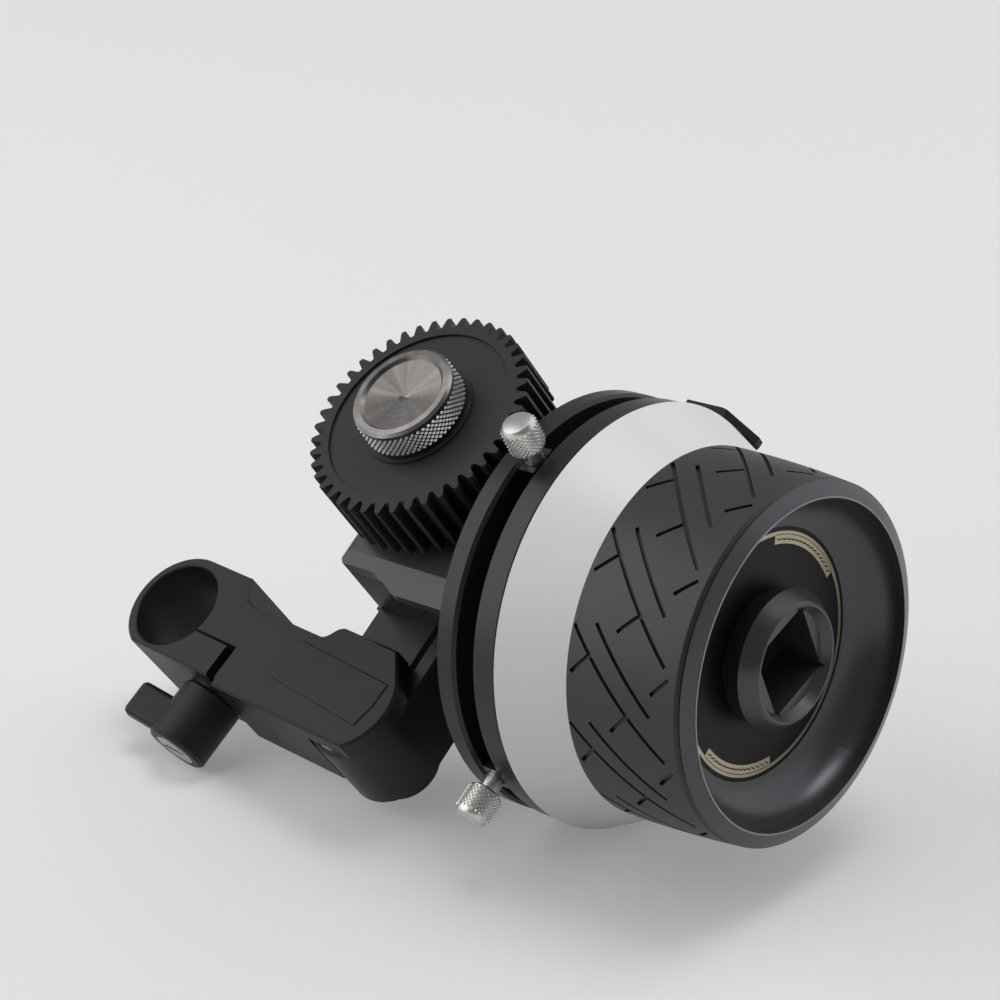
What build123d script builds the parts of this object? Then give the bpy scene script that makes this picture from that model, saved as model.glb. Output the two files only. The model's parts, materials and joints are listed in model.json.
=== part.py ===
from build123d import *
import os
from math import acos, asin, atan2, cos, hypot, pi, radians, sin, sqrt, tan

# Follow focus unit for a camera rig.
# A clamp arm holds the unit on a rod. A gearbox swings on the arm's far end.
# The hand wheel turns a crown gear and pinion, and they turn the lens gear.
# Millimetres. The rod runs along Y, the wheel's axis along X, Z is up.
# Origin: centre of the rod bore, midway through the arm.

# ---------------------------------------------------------------- clearances
fit = 0.05                # radial play of a pin, screw or ring in its own body
running = 0.05            # radial play of a turning shaft in its bearing
clear = 0.3               # free air between pieces that pass each other

# --------------------------------------------------------- rod clamp and arm
rod_d = 15.0
clamp_wall = 1.65
bore_chamfer = 0.2
arm_thick = 15.8
arm_tilt = 3.8            # slope of the arm, down towards its pivot
arm_length = 42.1         # rod bore to pivot, along the arm
pivot_drop = 2.1          # pivot below the bore, square to the arm
clamp_flat = 10.3         # where the clamp's flat top ends
clamp_slope_run = 2.4
clamp_shoulder = 5.65
bar_start = 14.8
bar_top = 5.05
bar_depth = 14.4
jaw_bottom = -8.3
jaw_end = 15.1
jaw_gap = 2.0
slit_drop = 2.4
slit_width = 0.5
edge_break = 0.4

# ------------------------------------------------------- pivot end of the arm
head_r = 9.0
head_rise = 9.9           # flat top above the pivot
head_front = 3.4
head_back = 8.4
head_swell = 12.0
plate_thick = 3.5         # front plate of the arm, beside the gearbox leg
leg_room = 0.5
swing_back = 30.0         # how far the gearbox may lean back over the arm
bolt_r = 3.0
bolt_grip = 2.7
bolt_head_r = 5.5
bolt_head_h = 3.0
washer_thick = 0.4
washer_r = 7.4

# ---------------------------------------------------------------- clamp lever
lever_x = 11.5
lever_r = 5.15
lever_length = 10.2
lever_washer_r = 4.6
lever_washer_thick = 0.6
wing_reach = 12.1
wing_thick = 3.0
wing_top = 3.1            # below the lever's upper face
wing_height = 6.1
wing_angle = 192.0
clamp_screw_r = 2.0
clamp_screw_top = 2.6
clamp_screw_start = 3.0   # above the lever's lower end
end_screw_r = 3.4
end_screw_thick = 0.9
end_slot_length = 5.0
end_slot_width = 0.8

# ------------------------------------------------------------------- gearbox
# From here on the frame is the gearbox's own. The wheel's axis is its X axis.
# The drive shaft runs along Y, above the wheel's axis and at x = 0.
drive_rise = 6.1
case_left = 10.3
case_right = 18.6
case_half_height = 14.6
nose_length = 20.2
nose_corner = 2.4
cover_thick = 3.0
cover_lip = 2.2           # how far the cover's right side hangs below the case
cover_lip_start = -2.8
cover_lip_run = 6.8
cover_slope_start = 2.2   # above the underside of the case
cover_slope = 17.0
side_slope_width = 1.4
leg_front = 6.43
leg_back = -6.9
leg_r = 8.0
leg_offset = 2.0          # pivot to the left of the drive shaft
leg_drop = 31.2           # pivot below the wheel axis
leg_groove_x = 2.75
leg_groove = 0.9
cavity_wall = 3.3         # left wall behind the gears
cavity_r = 10.2           # round part, for the crown gear
cavity_high = 12.8        # square part, for the pinion
cavity_front = 10.4
pivot_bush_wall = 1.15

# ------------------------------------------- crown gear and pinion, one to one
pair_teeth = 16
pair_module = 0.7
pair_addendum = 0.5
pair_dedendum = 0.75
pair_tooth_fill = 0.36    # part of the pitch that is tooth
pair_face = 1.4
pinion_over = 0.2         # pinion beyond the crown's teeth at each end
crown_disc = 1.6
gear_hub_r = 4.6
gear_hub_length = 3.8
cross_pin_r = 0.8

# -------------------------------------------------------- shafts and bearings
shaft_r = 3.0
shaft_end_r = 2.5
bush_wall = 1.5
shaft_bush_length = 2.6
rear_bush_length = 3.0
front_bush_length = 4.0
front_bush_flange_r = 5.2
front_bush_flange = 0.8
wheel_journal_r = 4.0
bearing_r = 9.0
bearing_width = 4.5
bearing_inner_r = 5.5
bearing_inset = 1.2       # from the flange's back to the bearing
boss_wall = 1.5
snap_ring_thick = 0.4
snap_ring_depth = 0.45

# --------------------------------------------------------------- fixed flange
flange_r = 32.0
flange_thick = 3.4
flange_bevel = 0.5
flange_screw_seats = [(-14.0, 9.5), (-14.0, -9.5), (5.4, -11.4), (12.2, 3.0)]
flange_screw_r = 1.0
flange_screw_head_r = 1.9
flange_screw_head_h = 1.3
flange_screw_length = 6.0
pointer_width = 10.2
pointer_flat_z = 31.5
pointer_inset = 0.3
pointer_foot_length = 2.8
pointer_foot_height = 1.25
pointer_thick = 2.15
pointer_straight = 7.8
pointer_taper = 4.6
pointer_tip_width = 1.2
pointer_tip_drop = 1.1
pointer_screw_spacing = 6.0
pointer_screw_r = 0.8
pointer_screw_depth = 3.0
pointer_screw_head_r = 1.35
pointer_screw_head_h = 0.8

# --------------------------------------------------------------------- wheel
slot_width = 3.5          # stop slot between flange and stop ring
drum_r = 26.9
core_r = 24.7
core_wall = 2.2
core_hub_r = 8.0
core_front = 51.2
core_web = 8.7
stop_ring_r = 32.1
stop_ring_thick = 4.2
groove_r = 28.9
groove_width = 2.1
groove_depth = 1.4
disc_r = 32.3
disc_width = 9.65
grip_back_r = 27.7
grip_front_r = 26.8
grip_width = 18.8
grip_bulge = 0.25
rim_gap = 0.2
rim_lip_x = 59.6
rim_lip_r = 24.3
badge_r = 18.7
badge_thick = 1.4
socket_r = 9.65
socket_collar_r = 10.6
socket_collar_x = 55.9
socket_front_r = 9.1
socket_front = 58.2
socket_base = 45.5
socket_square = 11.4
socket_mouth_r = 8.4
socket_floor = 49.6
socket_turn = -14.0
hub_screw_r = 2.0
hub_screw_head_r = 3.5
hub_screw_head_h = 2.1
hub_screw_length = 8.0
ring_pin_r = 0.7
ring_pin_depth = 3.0      # into the stop ring
ring_pin_cover = 0.5
ring_pin_angles = (30, 150, 270)
rim_screw_pcd = 41.0
rim_screw_r = 1.0
rim_screw_grip = 1.3
rim_screw_head_r = 1.8
rim_screw_head_h = 1.2
rim_screw_angles = (0, 90, 180, 270)
magnet_r = 1.6
magnet_thick = 1.3
magnet_pcd = 56.0
magnet_count = 6

# --------------------------------------------------------------------- stops
stop_angles = {"stop_a": 172.0, "stop_b": 267.6}
stop_width = 4.8
stop_outer_r = 31.7
stop_screw_r = 1.5
stop_head_r = 2.9
stop_head_start = 34.2
stop_head_height = 5.1

# ---------------------------------------------------------- lens gear and knob
gear_teeth = 43
gear_module = 0.8
gear_thick = 10.4
gear_standoff = 2.0       # from the gearbox nose to the gear
gear_face_step = 0.4
gear_seat_r = 4.0
collar_r = 6.0
gear_pin_r = 0.7
gear_pin_offset = 4.85
gear_pin_depth = 2.4
gear_pin_cover = 0.3      # metal left behind the pin in the shaft's collar
knob_r = 8.14
knob_height = 5.2
knob_rim = 1.3
knob_dish = 0.7
knob_bevel = 0.4
knob_screw_r = 2.5
knob_screw_length = 6.0


# ------------------------------------------------------------ drawing helpers
def slab_x(sketch, x0, x1):
    return extrude(Plane.YZ.offset(x0) * sketch, amount=x1 - x0)


def slab_y(sketch, y0, y1):
    face_plane = Plane((0, y1, 0), x_dir=(1, 0, 0), z_dir=(0, -1, 0))
    return extrude(face_plane * sketch, amount=y1 - y0)


def slab_z(sketch, z0, z1):
    return extrude(Plane.XY.offset(z0) * sketch, amount=z1 - z0)


def disc_x(r, x0, x1, y=0, z=0):
    return slab_x(Pos(y, z) * Circle(r), x0, x1)


def disc_y(r, y0, y1, x=0, z=0):
    return slab_y(Pos(x, z) * Circle(r), y0, y1)


def outline(*points):
    return make_face(Polyline(*points, close=True))


def turned_x(*points):
    # points are (x, radius)
    return revolve(outline(*points), Axis.X)


def turned_y(*points):
    # points are (radius, y)
    return revolve(outline(*points), Axis.Y)


def turned_z(*points):
    # points are (radius, z)
    return revolve(Plane.XZ * outline(*points), Axis.Z)


def screw(shank_r, length, head_r, head_h):
    # seat of the head at z = 0, shank below it, hexagon socket in the head
    body = turned_z((0, -length), (shank_r, -length), (shank_r, 0),
                    (head_r, 0), (head_r, head_h), (0, head_h))
    return body - slab_z(RegularPolygon(head_r * 0.5, 6), head_h * 0.4, head_h)


def pointing_x(x, y=0, z=0):
    # z of a piece turned to +X
    return Plane((x, y, z), x_dir=(0, 1, 0), z_dir=(1, 0, 0)).location


def pointing_minus_x(x, y=0, z=0):
    return Plane((x, y, z), x_dir=(0, 1, 0), z_dir=(-1, 0, 0)).location


def pointing_y(x, y, z):
    return Plane((x, y, z), x_dir=(1, 0, 0), z_dir=(0, 1, 0)).location


def pointing_minus_y(x, y, z):
    return Plane((x, y, z), x_dir=(1, 0, 0), z_dir=(0, -1, 0)).location


def on_circle(pcd, angle):
    return pcd / 2 * cos(radians(angle)), pcd / 2 * sin(radians(angle))


# --------------------------------------------------------- where things lie
bore_r = rod_d / 2
ring_r = bore_r + clamp_wall
bar_bottom = bar_top - bar_depth
clamp_end = clamp_flat + clamp_slope_run
tilt = radians(arm_tilt)
pivot_x = arm_length * cos(tilt) - pivot_drop * sin(tilt)
pivot_z = -arm_length * sin(tilt) - pivot_drop * cos(tilt)
plate_back = -arm_thick / 2 + plate_thick
leg_front_y = plate_back + washer_thick + 2 * running

arm_frame = Location((0, 0, 0), (0, arm_tilt, 0))
box_frame = Location((pivot_x + leg_offset, leg_front_y + leg_front, pivot_z + leg_drop))

flange_front = case_right + flange_thick
ring_back = flange_front + slot_width
ring_front = ring_back + stop_ring_thick
disc_front = ring_front + disc_width
grip_front = disc_front + grip_width
rim_back = grip_front + rim_gap
bearing_seat = case_right + bearing_inset
bearing_end = bearing_seat + bearing_width
boss_end = bearing_end + snap_ring_thick + 2 * fit
core_back = flange_front + clear
drive_bush_r = shaft_r + bush_wall
end_bush_r = shaft_end_r + bush_wall
cavity_left = -case_left + cavity_wall
nose_front = -nose_length
gear_back = nose_front - gear_standoff
gear_front = gear_back - gear_thick
gear_tip_r = gear_module * (gear_teeth + 2) / 2
gear_root_r = gear_tip_r - 2.25 * gear_module
knob_front = gear_front - knob_height
pointer_back = case_right + pointer_inset
pointer_top = pointer_flat_z + pointer_foot_height + pointer_thick
pair_r = pair_module * pair_teeth / 2
stop_x = flange_front + slot_width / 2
lever_top = jaw_bottom - lever_washer_thick - fit
lever_bottom = lever_top - lever_length


# ---------------------------------------------------------------- clamp arm
def arm_outline():
    px, pz = arm_length, -pivot_drop
    head_top = pz + head_rise
    corner_angle = atan2(head_rise, head_front) - acos(head_r / hypot(head_rise, head_front))
    foot_angle = asin((bar_bottom - pz) / head_r)
    upper = (px + head_r * cos(corner_angle), pz + head_r * sin(corner_angle))
    lower = (px + head_r * cos(foot_angle), pz + head_r * sin(foot_angle))
    swell = (px - head_swell, bar_top)
    back = (px - head_back, head_top)
    top = Polyline((0, 0), (0, ring_r), (clamp_flat, ring_r), (clamp_end, clamp_shoulder),
                   (bar_start, bar_top), swell)
    rise = Spline(swell, back, tangents=((1, 0.1), (1, 0.1)))
    crown = Polyline(back, (px + head_front, head_top), upper)
    nose = ThreePointArc(upper, (px + head_r, pz), lower)
    under = Polyline(lower, (jaw_end + jaw_gap, bar_bottom), (jaw_end + jaw_gap, jaw_bottom),
                     (0, jaw_bottom), (0, 0))
    bar = make_face([*top.edges(), *rise.edges(), *crown.edges(), *nose.edges(), *under.edges()])
    below = Pos(0, jaw_bottom - ring_r) * Rectangle(4 * ring_r, 2 * ring_r)
    return bar + (Circle(ring_r) - below)


def leg_strip(lean, room):
    # the space that the gearbox leg takes at one angle of the swing
    half = leg_r + room
    strip = Pos(0, leg_drop / 2) * Rectangle(2 * half, leg_drop)
    return Rot(0, 0, lean) * strip


def clamp_arm():
    body = slab_y(arm_outline(), -arm_thick / 2, arm_thick / 2)
    outer = [e for e in body.edges() if abs(e.bounding_box().size.Y) < 0.001]
    body = chamfer(outer, edge_break)
    body -= disc_y(bore_r, -arm_thick, arm_thick)
    mouth = turned_y((0, 0), (bore_r - bore_chamfer, 0), (bore_r + bore_chamfer, 2 * bore_chamfer),
                     (0, 2 * bore_chamfer))
    body -= Pos(0, arm_thick / 2 - 2 * bore_chamfer, 0) * mouth
    body -= Pos(0, 2 * bore_chamfer - arm_thick / 2, 0) * Rot(180, 0, 0) * mouth
    slit_start = sqrt(bore_r ** 2 - slit_drop ** 2) - 1
    slit_len = jaw_end + jaw_gap - slit_start
    slit = Pos(slit_start + slit_len / 2, -slit_drop) * Rectangle(slit_len, slit_width)
    drop = bar_bottom + slit_drop
    gap_height = -drop + slit_width + 2
    gap = Pos(jaw_end + jaw_gap / 2, -slit_drop + slit_width / 2 - gap_height / 2)
    body -= slab_y(slit + gap * Rectangle(jaw_gap, gap_height), -arm_thick, arm_thick)
    # room for the gearbox leg behind the front plate
    lean = leg_strip(swing_back + arm_tilt, leg_room)
    upright = leg_strip(arm_tilt, leg_room)
    side = Pos(head_r, 0) * Rectangle(2 * head_r, 4 * head_r)
    room = Circle(leg_r + leg_room) + lean + upright + side
    body -= slab_y(Pos(arm_length, -pivot_drop) * room, plate_back, arm_thick)
    body -= disc_y(bolt_r + fit, plate_back - bolt_grip - fit, plate_back,
                   arm_length, -pivot_drop)
    shank = Pos(lever_x, 0) * Circle(clamp_screw_r + running)
    body -= slab_z(shank, -slit_drop, clamp_screw_top + clear)
    body -= slab_z(Pos(lever_x, 0) * Circle(clamp_screw_r + clear), jaw_bottom - 1, -slit_drop)
    return body


def clamp_lever():
    barrel = turned_z((0, lever_bottom), (lever_r - 0.5, lever_bottom),
                      (lever_r, lever_bottom + 0.5), (lever_r, lever_top - 0.5),
                      (lever_r - 0.5, lever_top), (0, lever_top))
    wing_z = lever_top - wing_top - wing_height
    wing = slab_z(Pos(wing_reach / 2, 0) * RectangleRounded(wing_reach, wing_thick, 1.2),
                  wing_z, wing_z + wing_height)
    wing = fillet(wing.edges().filter_by(Axis.Y).group_by(Axis.X)[-1], 1.0)
    body = barrel + Rot(0, 0, wing_angle) * wing
    body -= slab_z(Circle(clamp_screw_r + fit), lever_bottom + clamp_screw_start, lever_top + 1)
    body -= slab_z(Circle(end_screw_r + fit), lever_bottom - 1, lever_bottom + end_screw_thick)
    return body


def clamp_screw():
    return slab_z(Circle(clamp_screw_r), lever_bottom + clamp_screw_start + fit, clamp_screw_top)


def lever_end_screw():
    disc = slab_z(Circle(end_screw_r), lever_bottom - fit, lever_bottom + end_screw_thick - fit)
    slot = Rectangle(end_slot_length, end_slot_width)
    return disc - slab_z(slot, lever_bottom - 1, lever_bottom + end_screw_thick / 2)


def clamp_washer():
    ring = Circle(lever_washer_r) - Circle(clamp_screw_r + fit)
    return slab_z(ring, jaw_bottom - lever_washer_thick - fit / 2, jaw_bottom - fit / 2)


# -------------------------------------------------------------- arm's pivot
pivot_at = Pos(-leg_offset, 0, -leg_drop)
end_washer_back = -leg_back + running + washer_thick
bolt_tip = -leg_front - 2 * running - washer_thick - bolt_grip


def pivot_bolt():
    length = end_washer_back - bolt_tip
    return pointing_y(0, end_washer_back, 0) * screw(bolt_r, length, bolt_head_r, bolt_head_h)


def pivot_washer():
    ring = Circle(washer_r) - Circle(bolt_r + fit)
    back = -leg_front - running
    return slab_y(ring, back - washer_thick, back)


def pivot_end_washer():
    ring = Circle(bolt_head_r + 0.8) - Circle(bolt_r + fit)
    return slab_y(ring, end_washer_back - washer_thick, end_washer_back)


def pivot_bush():
    ring = Circle(bolt_r + running + pivot_bush_wall) - Circle(bolt_r + running)
    return slab_y(ring, -leg_front, -leg_back)


# ------------------------------------------------------------------ gearbox
cover_screw_seats = [(-7.2, 12.0), (10.0, 12.0), (-7.2, -2.5), (10.0, -2.5)]
cover_screw_r = 1.25
cover_screw_head_r = 2.3
cover_screw_head_h = 1.4
cover_screw_length = 6.0


def case_form():
    depth = nose_length - cover_thick
    side = Pos(-depth / 2, 0) * Rectangle(depth, 2 * case_half_height)
    return slab_x(side + Circle(case_half_height), -case_left, case_right)


def side_slope():
    # sloped lower left edge of the nose, from the front back to the leg
    low, high = -case_half_height, -case_half_height + cover_slope_start
    wedge = outline((-case_left - 1, low - 3), (-case_left + side_slope_width, low - 3),
                    (-case_left + side_slope_width, low), (-case_left, high), (-case_left - 1, high))
    return slab_y(wedge, -nose_length - 1, -leg_front)


def leg_form():
    face = Circle(leg_r) + Pos(0, leg_drop / 2) * Rectangle(2 * leg_r, leg_drop)
    leg = slab_y(face, -leg_front, -leg_back)
    leg = chamfer(leg.faces().sort_by(Axis.Y)[0].edges(), edge_break)
    groove = Pos(leg_groove_x + leg_offset, -leg_front, leg_drop / 2) * Rot(0, 0, 45)
    return pivot_at * (leg - groove * Box(leg_groove, leg_groove, leg_drop))


def cavity():
    square = Pos(-cavity_front / 2, cavity_high / 2) * Rectangle(cavity_front, cavity_high)
    return slab_x(Circle(cavity_r) + square, cavity_left, case_right + 1)


def drive_bore():
    bore = disc_y(shaft_r + 0.6, nose_front - 1, 0, 0, drive_rise)
    bore += disc_y(drive_bush_r + fit, nose_front - 1, nose_front + front_bush_length + fit,
                   0, drive_rise)
    rear_start = -cavity_front - rear_bush_length - fit
    return bore + disc_y(drive_bush_r + fit, rear_start, -cavity_front + 1, 0, drive_rise)


def housing_body():
    body = case_form() - side_slope() + leg_form()
    body -= cavity()
    body -= drive_bore()
    bush_left = cavity_left - shaft_bush_length
    body -= disc_x(end_bush_r + fit, bush_left - fit, cavity_left + 1)
    body -= pivot_at * disc_y(bolt_r + running + pivot_bush_wall + fit, -leg_front - 1, 20)
    for x, z in cover_screw_seats:
        body -= disc_y(cover_screw_r + fit, nose_front, nose_front + cover_screw_head_h
                       + cover_screw_length + fit, x, z)
    for y, z in flange_screw_seats:
        tip = flange_front - flange_screw_head_h - flange_screw_length
        body -= disc_x(flange_screw_r + fit, tip - fit, case_right + 1, y, z)
    return body


def front_cover():
    low = -case_half_height
    lip = low - cover_lip
    start, end = (cover_lip_start, low), (cover_lip_start + cover_lip_run, lip)
    right = case_right - 0.2
    edge = Polyline(end, (right, lip), (right, case_half_height), (-case_left, case_half_height),
                    (-case_left, low), start)
    bend = Spline(start, end, tangents=((1, 0), (1, 0)))
    body = slab_y(make_face([*edge.edges(), *bend.edges()]), nose_front, nose_front + cover_thick)
    corner = [e for e in body.edges().filter_by(Axis.Z)
              if e.center().X < 0 and e.center().Y < nose_front + 0.1]
    body = fillet(corner, nose_corner) - side_slope()
    # sloped band along the foot of the cover
    reach = cover_lip + cover_slope_start + 1
    top = low + cover_slope_start
    band = slab_x(outline((nose_front - 1, top), (nose_front, top),
                          (nose_front + reach * tan(radians(cover_slope)), top - reach),
                          (nose_front - 1, top - reach)), -case_left - 1, case_right + 1)
    body = body - band - drive_bore()
    for x, z in cover_screw_seats:
        body -= disc_y(cover_screw_r + fit, nose_front, nose_front + 10, x, z)
        body -= disc_y(cover_screw_head_r + fit, nose_front - 1, nose_front + cover_screw_head_h, x, z)
    return body


def cover_screws():
    one = screw(cover_screw_r, cover_screw_length, cover_screw_head_r, cover_screw_head_h)
    seat = nose_front + cover_screw_head_h
    return [pointing_minus_y(x, seat, z) * one for x, z in cover_screw_seats]


def stop_flange():
    boss_r = bearing_r + boss_wall
    body = turned_x((case_right, wheel_journal_r + 0.6), (case_right, flange_r - 0.2),
                    (case_right + 0.2, flange_r), (flange_front - flange_bevel, flange_r),
                    (flange_front, flange_r - flange_bevel), (flange_front, boss_r),
                    (boss_end, boss_r), (boss_end, bearing_r + fit),
                    (bearing_seat, bearing_r + fit), (bearing_seat, wheel_journal_r + 0.6))
    ring_groove = Circle(bearing_r + fit + snap_ring_depth) - Circle(bearing_r - 1)
    body -= slab_x(ring_groove, bearing_end + fit, bearing_end + snap_ring_thick + fit)
    # flat on the rim for the index pointer
    flat = Rectangle(pointer_width + 2 * fit, 2 * (flange_r - pointer_flat_z))
    body -= slab_x(Pos(0, flange_r) * flat, pointer_back - fit, flange_front + 1)
    for y, z in flange_screw_seats:
        body -= disc_x(flange_screw_r + fit, case_right - 1, flange_front, y, z)
        seat = flange_front - flange_screw_head_h
        body -= disc_x(flange_screw_head_r + fit, seat, flange_front + 1, y, z)
    for side in (-1, 1):
        at = Pos(pointer_back + pointer_foot_length / 2, side * pointer_screw_spacing / 2)
        hole = at * Circle(pointer_screw_r + fit)
        body -= slab_z(hole, pointer_flat_z - pointer_screw_depth - fit, flange_r + 1)
    return body


def flange_screws():
    one = screw(flange_screw_r, flange_screw_length, flange_screw_head_r, flange_screw_head_h)
    seat = flange_front - flange_screw_head_h
    return [pointing_x(seat, y, z) * one for y, z in flange_screw_seats]


def index_pointer():
    half, tip = pointer_width / 2, pointer_tip_width / 2
    shoulder = pointer_back + pointer_straight
    end = shoulder + pointer_taper
    plan = outline((pointer_back, -half), (shoulder, -half), (end, -tip), (end, tip),
                   (shoulder, half), (pointer_back, half))
    plate = slab_z(plan, pointer_top - pointer_thick, pointer_top)
    over = outline((shoulder - 1, pointer_top + 1), (shoulder - 1, pointer_top),
                   (end + 0.1, pointer_top - pointer_tip_drop), (end + 0.1, pointer_top + 1))
    wedge = slab_y(over, -half, half)
    foot = Pos(pointer_back + pointer_foot_length / 2, 0) * Rectangle(pointer_foot_length, pointer_width)
    body = plate - wedge + slab_z(foot, pointer_flat_z, pointer_top - pointer_thick)
    for side in (-1, 1):
        at = Pos(pointer_back + pointer_foot_length / 2, side * pointer_screw_spacing / 2)
        body -= slab_z(at * Circle(pointer_screw_r + fit), pointer_flat_z - 1, pointer_top)
        body -= slab_z(at * Circle(pointer_screw_head_r + fit),
                       pointer_top - pointer_screw_head_h, pointer_top + 1)
    return body


def pointer_screws():
    seat = pointer_top - pointer_screw_head_h
    length = seat - pointer_flat_z + pointer_screw_depth
    one = screw(pointer_screw_r, length, pointer_screw_head_r, pointer_screw_head_h)
    x = pointer_back + pointer_foot_length / 2
    return [Pos(x, side * pointer_screw_spacing / 2, seat) * one for side in (-1, 1)]


# ------------------------------------------------------ shafts and bearings
def shaft_bush():
    ring = Circle(end_bush_r) - Circle(shaft_end_r + running)
    return slab_x(ring, cavity_left - shaft_bush_length, cavity_left)


def drive_bush_rear():
    ring = Pos(0, drive_rise) * (Circle(drive_bush_r) - Circle(shaft_r + running))
    return slab_y(ring, -cavity_front - rear_bush_length, -cavity_front)


def drive_bush_front():
    ring = Pos(0, drive_rise) * (Circle(drive_bush_r) - Circle(shaft_r + running))
    collar = Pos(0, drive_rise) * (Circle(front_bush_flange_r) - Circle(shaft_r + running))
    body = slab_y(ring, nose_front, nose_front + front_bush_length)
    return body + slab_y(collar, nose_front - front_bush_flange, nose_front)


def bearing_outer_ring():
    # outer race with both dust shields
    return slab_x(Circle(bearing_r) - Circle(bearing_inner_r + running), bearing_seat, bearing_end)


def bearing_inner_ring():
    return slab_x(Circle(bearing_inner_r) - Circle(wheel_journal_r + fit), bearing_seat, bearing_end)


def bearing_snap_ring():
    ring = Circle(bearing_r + snap_ring_depth) - Circle(bearing_r - 1.1)
    mouth = Pos(-bearing_r, 0) * Rectangle(2 * bearing_r, 3.0)
    return slab_x(ring - mouth, bearing_end + fit, bearing_end + snap_ring_thick)


# The crown gear's teeth lie on lines that pass the wheel's axis at the height of
# the drive shaft, so each tooth is parallel to the pinion's where the two mesh.
pitch = 2 * pi * pair_r / pair_teeth
crown_root = pair_r + pair_dedendum
crown_end = crown_root + crown_disc + gear_hub_length
pinion_front = -pair_r - pair_face / 2 - pinion_over
pinion_back = -pair_r + pair_face / 2 + pinion_over
pinion_end = pinion_front - gear_hub_length
crown_pin_x = crown_root + crown_disc + gear_hub_length / 2
pinion_pin_y = pinion_front - gear_hub_length / 2


def tooth_profile(root, foot, tip):
    # half symmetrical tooth section along +x, from root to tip
    wide, mid, top = [pitch * pair_tooth_fill * w / 2 for w in (1.35, 1.0, 0.6)]
    return outline((root, -wide), (foot, -mid), (tip, -top), (tip, top), (foot, mid), (root, wide))


def crown_gear():
    outer = hypot(drive_rise, pair_r + pair_face / 2) + 0.1
    body = slab_x(Circle(outer), crown_root, crown_root + crown_disc)
    body += slab_x(Circle(gear_hub_r), crown_root + crown_disc, crown_end)
    section = tooth_profile(-crown_root - 0.1, -pair_r, -pair_r + pair_addendum)
    tooth = slab_y(Rot(0, 0, 180) * section, -pair_r - pair_face / 2, -pair_r + pair_face / 2)
    for i in range(pair_teeth):
        body += Rot(360 * i / pair_teeth, 0, 0) * Pos(0, 0, drive_rise) * tooth
    body -= disc_x(shaft_r + fit, 0, crown_end + 1)
    return body - Pos(crown_pin_x, 0, 0) * Cylinder(cross_pin_r + fit, 4 * gear_hub_r)


def crown_gear_pin():
    return Pos(crown_pin_x, 0, 0) * Cylinder(cross_pin_r, 2 * gear_hub_r - 0.2)


def drive_pinion():
    section = tooth_profile(pair_r - pair_dedendum - 0.2, pair_r, pair_r + pair_addendum)
    wheel = Circle(pair_r - pair_dedendum)
    for i in range(pair_teeth):
        wheel += Rot(0, 0, 360 * (i + 0.5) / pair_teeth) * section
    body = slab_y(wheel, pinion_front, pinion_back)
    body += disc_y(gear_hub_r, pinion_end, pinion_front)
    body -= disc_y(shaft_r + fit, pinion_end - 1, 0)
    pin_hole = Pos(0, pinion_pin_y, 0) * Cylinder(cross_pin_r + fit, 4 * gear_hub_r)
    return Pos(0, 0, drive_rise) * (body - pin_hole)


def pinion_pin():
    return Pos(0, pinion_pin_y, drive_rise) * Cylinder(cross_pin_r, 2 * gear_hub_r - 0.2)


def wheel_shaft():
    left = cavity_left - shaft_bush_length + 0.2
    step = crown_root - 0.8
    shoulder = bearing_seat - 0.5
    body = turned_x((left, 0), (left, shaft_end_r), (step, shaft_end_r), (step, shaft_r),
                    (shoulder, shaft_r), (shoulder, wheel_journal_r),
                    (socket_base - 0.1, wheel_journal_r), (socket_base - 0.1, 0))
    body -= disc_x(hub_screw_r + fit, socket_base - hub_screw_length - 1, socket_base)
    return body - Pos(crown_pin_x, 0, 0) * Cylinder(cross_pin_r + fit, 4 * shaft_r)


def drive_shaft():
    collar_back = nose_front - front_bush_flange - 2 * running
    body = turned_y((0, pinion_back), (shaft_r, pinion_back), (shaft_r, collar_back),
                    (collar_r, collar_back), (collar_r, gear_back), (gear_seat_r, gear_back),
                    (gear_seat_r, gear_front + 0.2), (0, gear_front + 0.2))
    body -= disc_y(knob_screw_r + running, gear_front - 1, gear_front + knob_screw_length + 1)
    body -= disc_y(gear_pin_r + fit, gear_back - 1, collar_back - gear_pin_cover, 0, gear_pin_offset)
    body -= Pos(0, pinion_pin_y, 0) * Cylinder(cross_pin_r + fit, 4 * shaft_r)
    return Pos(0, 0, drive_rise) * body


# ---------------------------------------------------------------- lens gear
def gear_outline():
    # rounded involute-like teeth, from root to tip and back
    step = 2 * pi / gear_teeth
    shape = [(-0.50, 0.0), (-0.36, 0.04), (-0.27, 0.40), (-0.19, 0.80), (-0.11, 1.0),
             (0.11, 1.0), (0.19, 0.80), (0.27, 0.40), (0.36, 0.04)]
    points = []
    for i in range(gear_teeth):
        for turn, rise in shape:
            a = (i + turn) * step
            r = gear_root_r + rise * (gear_tip_r - gear_root_r)
            points.append((r * cos(a), r * sin(a)))
    return outline(*points)


def drive_gear():
    body = slab_y(gear_outline(), gear_front, gear_back)
    face = Circle(gear_root_r * 0.92) - Circle(knob_r + 0.8)
    body -= slab_y(face, gear_front - 1, gear_front + gear_face_step)
    body -= disc_y(gear_seat_r + fit, gear_front - 1, gear_back + 1)
    body -= disc_y(gear_pin_r + fit, gear_back - gear_pin_depth - fit, gear_back + 1, 0, gear_pin_offset)
    return Pos(0, 0, drive_rise) * body


def gear_pin():
    collar_back = nose_front - front_bush_flange - 2 * running
    return disc_y(gear_pin_r, gear_back - gear_pin_depth, collar_back - gear_pin_cover - fit,
                  0, drive_rise + gear_pin_offset)


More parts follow.
